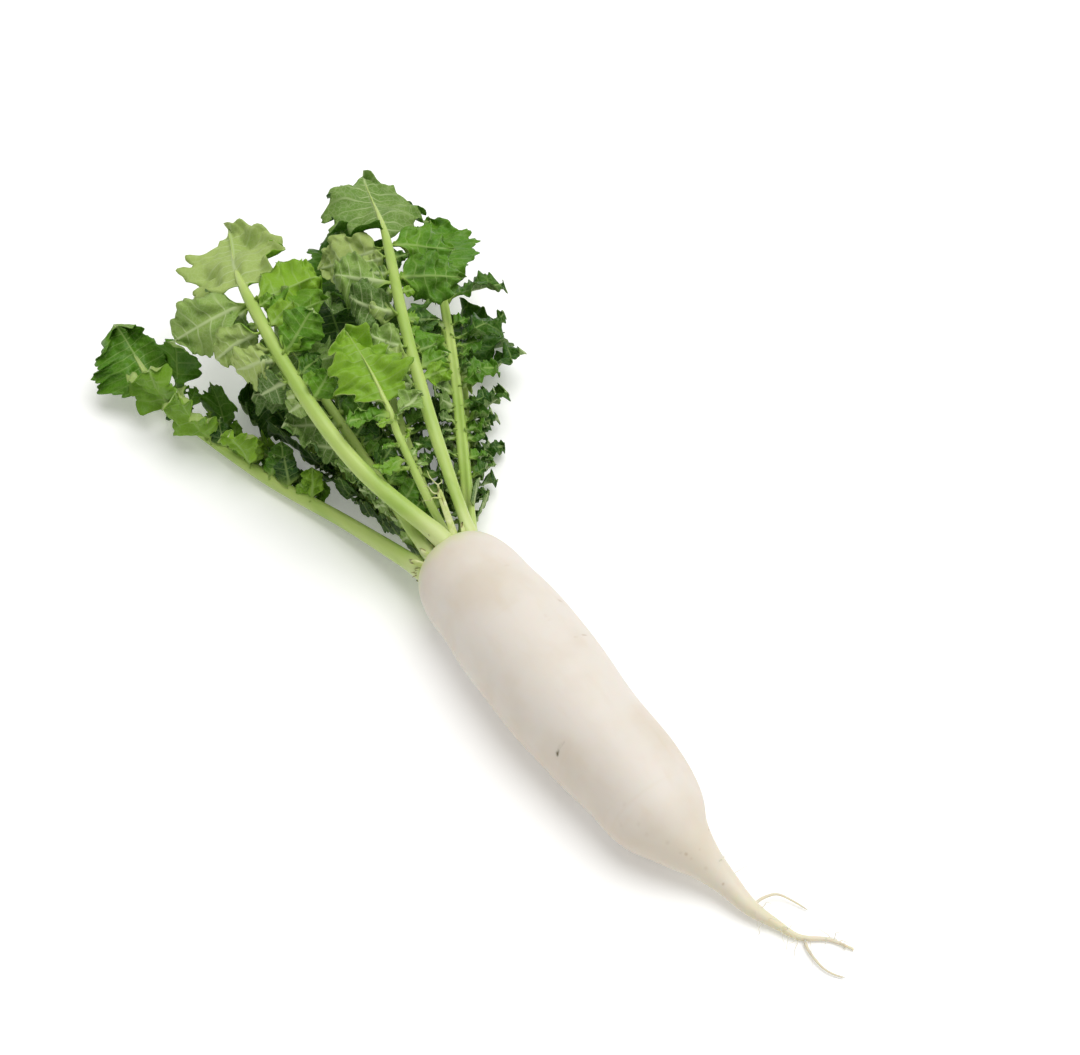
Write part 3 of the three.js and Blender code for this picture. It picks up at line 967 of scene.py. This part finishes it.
# %% [markdown]
# Blades are copies of three flat grids: a dense one for the end lobe, a coarser one for the side
# leaflets, and a small one for the hundreds of tiny leaflets. Each copy has its own mesh, is put
# in its place by the formula that it is given, and carries the numbers that its finish reads.

# %% Patterns to copy, and one blade


def blade_pattern(name, size):
    """One flat grid that blades are copied from, its columns closer together near the midrib."""
    piece, u, v = add_grid(name, *size)
    across = 2 * v - 1
    across = np.sign(across) * np.abs(across) ** MIDRIB_CROWDING
    return piece, u, across


patterns = {kind: blade_pattern(kind + "_pattern", size) for kind, size in GRIDS.items()}
print("faces:", {kind: len(pattern.data.polygons) for kind, (pattern, _, _) in patterns.items()})


def blade(kind, name, place, width_at, veins, tint):
    """A copy of the pattern, put in its place, with what its finish reads painted on it."""
    pattern, u, v = patterns[kind]
    piece = pattern.copy()
    piece.data = pattern.data.copy()
    piece.name = name
    bpy.context.scene.collection.objects.link(piece)
    set_points(piece, place(u, v))
    rib = np.abs(v) * width_at(u, v) * mix(RIB_START, RIB_TIP, u)
    phase = veins * u
    stem = 1 - smooth_rise(u, 0.02, STEM_ENDS[kind]) if kind in STEM_ENDS else 0 * u
    paint(piece, "stem", stem)
    paint(piece, "rib", rib)
    paint(piece, "vein", phase)
    paint(piece, "edge", np.abs(v))
    paint(piece, "tint", np.full(len(u), tint))
    ridge = mix(1.0, 0.35, u) * np.exp(-((rib / RIDGE_WIDTH) ** 2))
    side = np.abs((phase % 1) - 0.5) * 2
    width, height = SIDE_RIDGE
    small = height * (1 - np.abs(v)) * np.exp(-((side / width) ** 2))
    least = BLADE_THICKNESS / VEIN_THICKNESS
    weight = np.clip(np.maximum(least, np.maximum(ridge, small + least)), 0, 1)
    group = piece.vertex_groups.new(name="thickness")
    for value in np.unique(np.round(weight, 2)):
        members = np.flatnonzero(np.round(weight, 2) == value).tolist()
        group.add(members, float(value), "REPLACE")
    return piece


# %% [markdown]
# A side leaflet leaves the stalk's side on a narrow stem and leans to the tip of the leaf. How far
# it is raised, twisted, curled and cupped is drawn in the same order as for the solids, so that
# each fine leaflet lies where the plain one does.

# %% One side leaflet


def make_leaflet(leaf, share, hand, length, random, kind="leaflet"):
    """One side leaflet, growing from the stalk at a share of the leaf's length."""
    centre, along, across, upper, stalk = (part[0] for part in leaf.line(np.array([share])))
    lean = math.radians(pick(LEAFLET["lean"], random))
    raised = math.radians(leaf.raised + pick(LEAFLET["raise"], random))
    twist = math.radians(hand * pick(LEAFLET["twist"], random))
    outward = across * hand * math.cos(raised) + upper * math.sin(raised)
    out = along * math.cos(lean) + outward * math.sin(lean)
    level = unit(np.cross(np.cross(out, along), out))
    axis = unit(out)
    level = (
        level * math.cos(twist)
        + np.cross(axis, level) * math.sin(twist)
        + axis * (axis @ level) * (1 - math.cos(twist))
    )
    face = np.cross(level, out) * hand
    joint = across * hand * stalk * STEM_SHIFT
    half = length * pick(LEAFLET["half"], random)
    curl = length * pick(LEAFLET["curl"], random)
    cup = pick(LEAFLET["cup"], random)
    wave = half * pick(LEAFLET["wave"], random)
    phase = next(random)
    small = length < LEAFLET["small_below"] * leaf.leaflet
    teeth = LEAFLET["small_teeth"] if small else LEAFLET["teeth"]
    seed = [leaf.seed, int(share * 1e4), hand + 1]
    shift, tint = np.random.default_rng(seed).uniform(0, 1, 2)
    # painted shade: a leaflet low in the heap gets a darker tint
    tint *= leaf.brightness

    def width_at(u, v):
        stem = mix(STEM_WIDTH, 1, smooth_rise(u, 0.02, 0.24))
        return half * stem * outline(u, teeth, FINE_TEETH * teeth, shift + SIDE_SHIFT * (v > 0))

    def place(u, v):
        width = width_at(u, v)
        ruffle = wave * v * np.sin(2 * np.pi * (LEAFLET["waves"] * u + phase))
        sweep = LEAFLET["sweep"] * np.abs(v) * np.sin(np.pi * u)
        shaped = np.random.default_rng(seed)
        fine = frill(u, v, half, LEAFLET["edge_waves"], shaped) + crumple(u, v, length, shaped)
        quilt = LEAFLET["quilt"] * np.cos(2 * np.pi * 2 * teeth * u) * np.sin(np.pi * np.abs(v))
        lift = curl * u * u + cup * width * np.abs(v) + ruffle + fine + quilt
        points = centre + np.outer(1 - u, joint) + out * (length * (u + sweep))[:, None]
        points = points + level * (width * v)[:, None] + face * lift[:, None]
        # the stem stays on the stalk where the rest is bent back into the leaf's space
        foot = (centre + joint)[None]
        step = (sink(foot) - settle(foot, leaf)) * (share < leaf.terminal[0] - LOBE_BLEND)
        return settle(points, leaf) + np.outer(1 - smooth_rise(u, *LETS_GO[kind]), step[0])

    return blade(kind, leaf.name + "_leaflet", place, width_at, 2 * teeth, tint)


# %% The end lobe


def make_terminal(leaf, random):
    """The broad lobe that ends the leaf."""
    start, half = leaf.terminal
    phase = next(random)
    cup = pick(TERMINAL["cup"], random)
    teeth = TERMINAL["teeth"]
    shift, tint = np.random.default_rng([leaf.seed, 99]).uniform(0, 1, 2)
    # painted shade: a lobe low in the heap gets a darker tint
    tint *= leaf.brightness

    def width_at(u, v):
        shifted = shift + SIDE_SHIFT * (v > 0)
        return half * outline(u, teeth, FINE_TEETH * teeth, shifted, leaf.notch)

    def place(u, v):
        width = width_at(u, v)
        centre, _, across, upper, _ = leaf.line(start + (1 - start) * u)
        turns = TERMINAL["waves"] * u + phase
        ruffle = half * TERMINAL["wave"] * v * np.sin(2 * np.pi * turns)
        shaped = np.random.default_rng([leaf.seed, 77])
        fine = frill(u, v, half, TERMINAL["edge_waves"], shaped) + crumple(u, v, 2 * half, shaped)
        quilt = TERMINAL["quilt"] * np.cos(2 * np.pi * 2 * teeth * u) * np.sin(np.pi * np.abs(v))
        lift = cup * width * np.abs(v) + ruffle + fine + quilt
        points = centre + across * (width * v)[:, None] + upper * lift[:, None]
        return settle(points, leaf)

    return blade("terminal", leaf.name + "_lobe", place, width_at, 2 * teeth, tint)


# %% [markdown]
# A stalk. It is thick and fleshy, flat or slightly hollow on its upper side and round below, with
# faint ribs, and it runs out as the midrib of the end lobe. At its foot it widens and goes into
# the crown.

# %% Shape a stalk
STALK_GRID = (120, 24)
STALK_RIBS = 9
STALK_RIB_HEIGHT = 0.022
STALK_HOLLOW = 0.4      # share of the upper side's depth, and of the width
FOOT_FLARE = (0.22, 0.035)      # how much wider the foot is, and over which share of the leaf
FOOT_DEPTH = (8, 0.03)          # how far the foot goes into the crown, over which share
STALK_REACH = 0.985     # the midrib ends just inside the tip of the lobe
MIDRIB_THIN = 0.75      # it is thin from this share of the lobe on
MIDRIB_WIDTH = 0.12     # and has this share of the stalk's width left
RIB_STANDS_OUT = 0.9


def make_stalk(leaf):
    """The stalk of a leaf as a closed tube."""
    start = leaf.terminal[0]
    end = mix(start, 1, MIDRIB_THIN)

    def skin(share, turn):
        place = STALK_REACH * share
        centre, along, across, upper, width = leaf.line(place)
        # past the start of the end lobe the stalk thins to a midrib and follows the lobe
        thin = 1 - smooth_rise(place, start - LOBE_BLEND, end)
        follow = smooth_rise(place, start - LOBE_BLEND, start)[:, None]
        wider, flare = FOOT_FLARE
        foot = 1 + wider * np.exp(-((place / flare) ** 2))
        ends = np.sqrt(np.clip(1 - np.abs(2 * share - 1) ** 60, 0, 1))
        width = width * mix(MIDRIB_WIDTH, 1, thin) * foot * ends
        angle = 2 * math.pi * turn
        side, up = np.cos(angle), np.sin(angle)
        hollow = 1 - STALK_HOLLOW * np.exp(-((side / STALK_HOLLOW) ** 2))
        depth = np.where(up > 0, STALK_FRONT * hollow, STALK_BACK)
        ribs = 1 + STALK_RIB_HEIGHT * np.cos(STALK_RIBS * angle) * (up < 0.2)
        offset = across * (side * width / 2 * ribs)[:, None]
        offset = offset + upper * (up * width * depth * ribs)[:, None]
        free = sink(centre + offset)
        held = settle(centre, leaf) + offset
        # along the end lobe the stalk stands out below, as its midrib
        points = mix(free, held, follow) - upper * RIB_STANDS_OUT * follow
        deep, reach = FOOT_DEPTH
        points[:, 0] += deep * np.clip(1 - share / reach, 0, 1)
        return points, {}

    return roll(leaf.name + "_stalk", *STALK_GRID, skin)


# %% [markdown]
# Small leaflets. Between the large leaflets, and down the stalk below them, a real leaf carries
# small curly ones, and they make the heap look dense. They are made as the large ones are, from
# a coarser grid, because there are hundreds. Four leaves keep a clean lower stalk.

# %% Small leaflets along a stalk
SMALL_REACH = (0.09, 0.62)      # shares of the leaf between which they grow
SMALL_REACH_OF = {
    "leaf_outer_left": (0.34, 0.66), "leaf_top_left": (0.42, 0.66), "leaf_top_right": (0.36, 0.66),
    "leaf_top_short": (0.36, 0.46),
}
SMALL_STEP = 0.045
SMALL_STEP_BELOW = 0.028    # the leaves below are denser
SMALL_SHIFT = (0.0, 0.03)
SMALL_LENGTH = (11, 24)


def small_leaflets(leaf):
    """The small curly leaflets between the large ones, and along the stalk below them."""
    random = draws(leaf.seed + 1000)
    first, last = SMALL_REACH_OF.get(leaf.name, SMALL_REACH)
    made = []
    step = SMALL_STEP_BELOW if leaf.space == ON_SURFACE else SMALL_STEP
    for share in np.arange(first, last, step):
        for hand in (-1, 1):
            place = share + pick(SMALL_SHIFT, random)
            grown = pick(SMALL_LENGTH, random)
            made.append(make_leaflet(leaf, place, hand, grown, random, "small"))
    return made


# %% [markdown]
# A whole leaf. Its blades are joined first, so that one Solidify modifier makes them all thick,
# with the second material on the new underside and the first on the rim. The stalk is closed
# already, so it is joined after that, with the third material on it.

# %% Put a leaf together


def make_leaf(leaf, finishes):
    """Stalk, leaflets and end lobe of one leaf, joined in one piece."""
    random = draws(leaf.seed)
    blades = [make_terminal(leaf, random)]
    for pair in range(leaf.pairs):
        rank = pair / (leaf.pairs - 1)
        last = leaf.terminal[0] - LEAFLET["clear_of_tip"]
        station = mix(leaf.bare, last, rank ** LEAFLET["crowding"])
        for hand in (-1, 1):
            share = station + pick(LEAFLET["jitter"], random)
            grown = mix(LEAFLET["shortest"], 1, rank) * pick(LEAFLET["length"], random)
            blades.append(make_leaflet(leaf, share, hand, leaf.leaflet * grown, random))
    join(blades[0], blades[1:] + small_leaflets(leaf))
    piece = blades[0]
    cover(piece, *finishes)
    thick = piece.modifiers.new("thickness", "SOLIDIFY")
    thick.thickness = VEIN_THICKNESS * MM
    thick.offset = -1
    thick.vertex_group = "thickness"
    thick.material_offset = 1
    thick.material_offset_rim = 0
    thick.use_quality_normals = True
    choose(piece)
    bpy.ops.object.modifier_apply(modifier=thick.name)
    bpy.ops.object.shade_smooth()
    stalk = make_stalk(leaf)
    cover(stalk, *finishes)
    for face in stalk.data.polygons:
        face.material_index = 2
    join(piece, [stalk])
    piece.vertex_groups.clear()
    piece.name = leaf.name + "_fine"
    piece.data.name = piece.name
    return piece


# %% [markdown]
# Finishes of the leaves. The upper side is a saturated green that differs from leaflet to leaflet,
# with paler veins; the underside is a grey green with strong pale veins; the stalk is a pale
# yellow green that turns white at its foot. A blade is so thin that light shines through it, so
# part of its shader is translucent.

# %% Finish of blades and stalks
# The darkest tints, LEAF_DEEP and UNDER_SHADE, come at random to some leaflets and as painted shade
# to leaves low in the heap.
LEAF_DEEP = (0.013, 0.068, 0.004)
LEAF_MID = (0.105, 0.28, 0.015)
LEAF_BRIGHT = (0.26, 0.47, 0.03)
UNDER_SHADE = (0.10, 0.20, 0.035)
UNDER_DEEP = (0.23, 0.39, 0.075)
UNDER_PALE = (0.46, 0.58, 0.17)
VEIN_PALE = (0.40, 0.57, 0.17)
VEIN_UNDER = (0.60, 0.72, 0.36)
SHINE_THROUGH = (0.30, 0.62, 0.05)
STALK_GREEN = (0.34, 0.50, 0.095)
STALK_PALE = (0.47, 0.60, 0.17)
STALK_WHITE = (0.70, 0.73, 0.40)
WHITE_FOOT = (-0.112, -0.090)       # stations in metres
SIDE_VEIN = (0.015, 0.085)          # half-width of a side vein and of its soft edge
SHINES_THROUGH = 0.2                # share of the light that comes through a blade


def blade_finish(name, deep, middle, bright, vein, vein_share, vein_width, roughness):
    """Green blade with veins that follow its own grid."""
    finish = Finish(name)
    tint = finish.painted("tint")
    colour = finish.mix(finish.rise(tint, -0.04, 0.42), deep, middle)
    colour = finish.mix(finish.rise(tint, 0.5, 1.0), colour, bright)
    patches = finish.rise(finish.noise(60, 3.0), 0.35, 0.7)
    patches = finish.times(patches, finish.rise(tint, -0.2, 0.8))
    colour = finish.mix(finish.times(patches, 0.4), colour, bright)
    phase = finish.math("FRACT", finish.painted("vein"))
    off = finish.math("ABSOLUTE", finish.math("SUBTRACT", phase, 0.5))
    edge = finish.painted("edge")
    reach = finish.math("SUBTRACT", 1.0, finish.times(edge, 0.8))
    near = finish.fall(off, *SIDE_VEIN)
    side = finish.times(near, reach)
    rib = finish.fall(finish.painted("rib"), 0.25, vein_width)
    net = finish.add(
        "TexVoronoi", {"feature": "DISTANCE_TO_EDGE"}, Vector=finish.place(), Scale=330
    ).outputs["Distance"]
    fine = finish.times(finish.fall(net, 0.0, 0.12), 0.28)
    veins = finish.math("MAXIMUM", finish.math("MAXIMUM", side, rib), fine)
    colour = finish.mix(finish.times(veins, vein_share), colour, vein)
    colour = finish.mix(finish.painted("stem"), colour, STALK_GREEN)
    relief = finish.bump(veins, 0.0003, 0.5)
    relief = finish.bump(finish.noise(420, 2.0), 0.00025, 0.35, relief)
    front = finish.add(
        "BsdfPrincipled",
        Base_Color=colour,
        Roughness=roughness,
        IOR=1.45,
        Specular_IOR_Level=0.3,
        Normal=relief,
    )
    through_colour = finish.mix(0.55, colour, SHINE_THROUGH)
    behind = finish.add("BsdfTranslucent", Color=through_colour)
    both = {"_1": front.outputs[0], "_2": behind.outputs[0]}
    return finish.finish(finish.add("MixShader", Fac=SHINES_THROUGH, **both))


def stalk_finish():
    """Pale yellow green stalk, white at its foot."""
    finish = Finish("leaf_stalk")
    fibres = finish.noise(70, 3.0, (0.15, 1, 1))
    colour = finish.mix(finish.rise(fibres, 0.3, 0.7), STALK_GREEN, STALK_PALE)
    along = finish.add("SeparateXYZ", Vector=finish.place()).outputs["X"]
    white = finish.times(finish.rise(along, *WHITE_FOOT), 0.5)
    colour = finish.mix(white, colour, STALK_WHITE)
    relief = finish.bump(finish.noise(420, 2.0, (0.08, 1, 1)), 0.0003, 0.3)
    stalk = finish.add(
        "BsdfPrincipled",
        Base_Color=colour,
        Roughness=0.4,
        IOR=1.42,
        Subsurface_Weight=0.3,
        Subsurface_Radius=(0.8, 1.0, 0.3),
        Subsurface_Scale=0.003,
        Normal=relief,
    )
    return finish.finish(stalk)


upper = blade_finish("leaf_upper", LEAF_DEEP, LEAF_MID, LEAF_BRIGHT, VEIN_PALE, 0.6, 1.1, 0.4)
under = blade_finish("leaf_under", UNDER_SHADE, UNDER_DEEP, UNDER_PALE, VEIN_UNDER, 0.8, 1.7, 0.6)
stalk = stalk_finish()
print("leaf finishes:", upper.name, under.name, stalk.name)

# %% [markdown]
# All ten leaves, one loop. Each stands for its own solid, so each stays a piece by itself. The
# short one lies turned over, with its bright upper side to the light.

# %% Make the leaves
TURNED_OVER = "leaf_top_short"

for row in LEAVES:
    leaf = Leaf(row)
    blade_sides = (under, upper) if leaf.name == TURNED_OVER else (upper, under)
    piece = make_leaf(leaf, (*blade_sides, stalk))
    dress(piece, leaf.name)
    print(piece.name, len(piece.data.polygons), "faces")

for pattern, _, _ in patterns.values():
    bpy.data.objects.remove(pattern)

# %% [markdown]
# The crown. Older leaves were pulled or cut off before, and their stubs stay round the growing
# point between the leaf bases: short, pale, dried brown at the end. The longest ends in withered
# strips that curl, and torn fibres stand between them. Each stub is a rolled grid, so its torn end
# is only an edge that is longer in some places.

# %% Stubs of old leaves
CROWN_MIDDLE = (0.0, 31.5)
STUBS_BACK = 2.0        # the stubs start this far inside the crown
# bearing round the crown in degrees, distance from its middle, length, width, lean outwards
STUBS = [
    (82, 18.0, 34, 5.4, 0.9), (62, 17.5, 10, 4.2, 0.9), (140, 17.5, 10, 4.0, 0.7),
    (160, 18.5, 12, 5.0, 1.0), (206, 17.5, 10, 4.6, 0.9), (224, 17.5, 6, 3.4, 0.6),
    (114, 17.5, 12, 4.8, 0.95), (60, 17.5, 5, 3.6, 0.8), (12, 17.5, 7, 4.2, 0.6),
    (330, 17.0, 6, 3.6, 0.6), (250, 17.0, 6, 4.0, 0.4), (285, 17.0, 7, 4.0, 0.4),
    (112, 8.0, 6, 3.0, 0.3), (215, 9.0, 5, 3.0, 0.3), (350, 9.0, 6, 3.2, 0.3),
    (172, 18.0, 8, 3.6, 1.1),
]
STUB_GRID = (18, 18)
STUB_DEPTH = 0.55       # share of its width
STUB_SUNK = 0.2         # share of its length that is inside the crown
STUB_TIP = 0.72         # width left at its end
TORN = (0.16, 0.1)      # how uneven its end is, in three large waves and seven small ones
DRY_END = 4             # length that has dried


def crown_point(bearing, away):
    """A point on the crown and the direction outward from its middle."""
    angle = math.radians(bearing)
    out = np.array([0.0, math.cos(angle), math.sin(angle)])
    return np.array([CROWN_X + STUBS_BACK, *CROWN_MIDDLE]) + out * away, out


def stub_direction(out, lean):
    """Where a stub that leans outward points."""
    return unit(np.array([-1.0, 0.0, 0.0]) + out * lean)


def make_stub(number, bearing, away, length, width, lean):
    """A short flattened stump that leans outward, with a torn end."""
    start, out = crown_point(bearing, away)
    first, second = np.random.default_rng([41, number]).uniform(0, 2 * math.pi, 2)
    side = np.cross(out, (1.0, 0.0, 0.0))
    onward = stub_direction(out, lean)

    def skin(share, turn):
        angle = 2 * math.pi * turn
        ends = np.sqrt(np.clip(1 - np.abs(2 * share - 1) ** 14, 0, 1))
        large, small = TORN
        torn = large * np.sin(3 * angle + first) + small * np.sin(7 * angle + second)
        along = length * (share - STUB_SUNK) * (1 + torn * smooth_rise(share, 0.5, 0.8))
        thick = width / 2 * mix(1, STUB_TIP, share) * ends
        points = start + np.outer(along, onward)
        points += np.outer(thick * np.cos(angle), side)
        points += np.outer(STUB_DEPTH * thick * np.sin(angle), out)
        return points, {"dry": smooth_rise(share, 1 - DRY_END / length, 1.0)}

    return roll("stub", *STUB_GRID, skin)


# %% Fibres and curled strips
FIBRES = 44
FIBRE_RADII = (0.75, 0.2)
LEAST_CLEAN = (200, 28)     # bearing where most leaves were pulled off, and its spread
# the withered strips at the end of the longest stub: bend and tip, seen from that end
CURLS = [
    ((-5, -2, 5), (-13, -5, 1)), ((-8, 1, 8), (-18, 1, 7)), ((0, -5, 3), (-6, -10, -3)),
    ((-8, 4, 3), (-14, 8, -1)),
]
CURL_RADII = (0.65, 0.2)
CURL_STARTS = 0.76          # share of the stub's length, inside its end
CURL_BROWN = 0.15           # the strips are paler than the fibres


def make_fibres():
    """Torn fibres round the crown, most of them at the near left."""
    made = []
    drawn = np.random.default_rng(43)
    for number in range(FIBRES):
        anywhere = drawn.uniform(0, 360)
        bearing = drawn.choice((anywhere, drawn.normal(*LEAST_CLEAN)), p=(0.35, 0.65))
        start, out = crown_point(bearing, drawn.uniform(15, 20))
        sway = drawn.normal(0, 1.2, 3)
        bend = start + np.array([-3.5, 0, 0]) + out * drawn.uniform(1.5, 5)
        tip = bend + np.array([-0.5, 0, 0]) + out * drawn.uniform(0.5, 5) + sway
        made.append(thread("fibre", start, bend, tip, FIBRE_RADII, (10, 5), 0.4, number))
    return made


def make_curls():
    """The withered strips of the longest stub."""
    made = []
    bearing, away, length, _, lean = STUBS[0]
    start, out = crown_point(bearing, away)
    end = start + stub_direction(out, lean) * length * CURL_STARTS
    for number, (bend, tip) in enumerate(CURLS):
        curl = thread("curl", end, end + bend, end + tip, CURL_RADII, (24, 6), 1.2, number)
        for mark in curl.data.attributes["thread"].data:
            mark.value = CURL_BROWN
        made.append(curl)
    return made


stubs = [make_stub(number, *stub) for number, stub in enumerate(STUBS)]
crown = stubs[0]
join(crown, stubs[1:] + make_fibres() + make_curls())
crown.name = "crown_stubs"
crown.data.name = crown.name
print("crown has", len(crown.data.polygons), "faces")

# %% [markdown]
# The stubs' finish. A cut stalk keeps its pale flesh near the crown and dries brown from the cut
# end inwards. The dryness is painted on the points, and noise breaks up its edge.

# %% Finish of the stubs
STUB_PALE = (0.66, 0.70, 0.36)
STUB_GREEN = (0.48, 0.58, 0.16)
STUB_BROWN = (0.24, 0.21, 0.07)


def stub_finish():
    """Pale flesh that has dried brown towards the cut end."""
    finish = Finish("old_leaf_stub")
    colour = finish.mix(finish.rise(finish.noise(200, 3.0), 0.35, 0.65), STUB_PALE, STUB_GREEN)
    dry = finish.times(finish.painted("dry"), finish.noise(420, 2.0))
    colour = finish.mix(finish.rise(dry, 0.25, 0.6), colour, STUB_BROWN)
    colour = finish.mix(finish.times(finish.painted("thread"), 0.85), colour, STUB_BROWN)
    relief = finish.bump(finish.noise(600, 3.0, (0.2, 1, 1)), 0.0004, 0.5)
    stub = finish.add("BsdfPrincipled", Base_Color=colour, Roughness=0.6, Normal=relief)
    return finish.finish(stub)


cover(crown, stub_finish())
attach(crown, "root")
print("crown dressed")
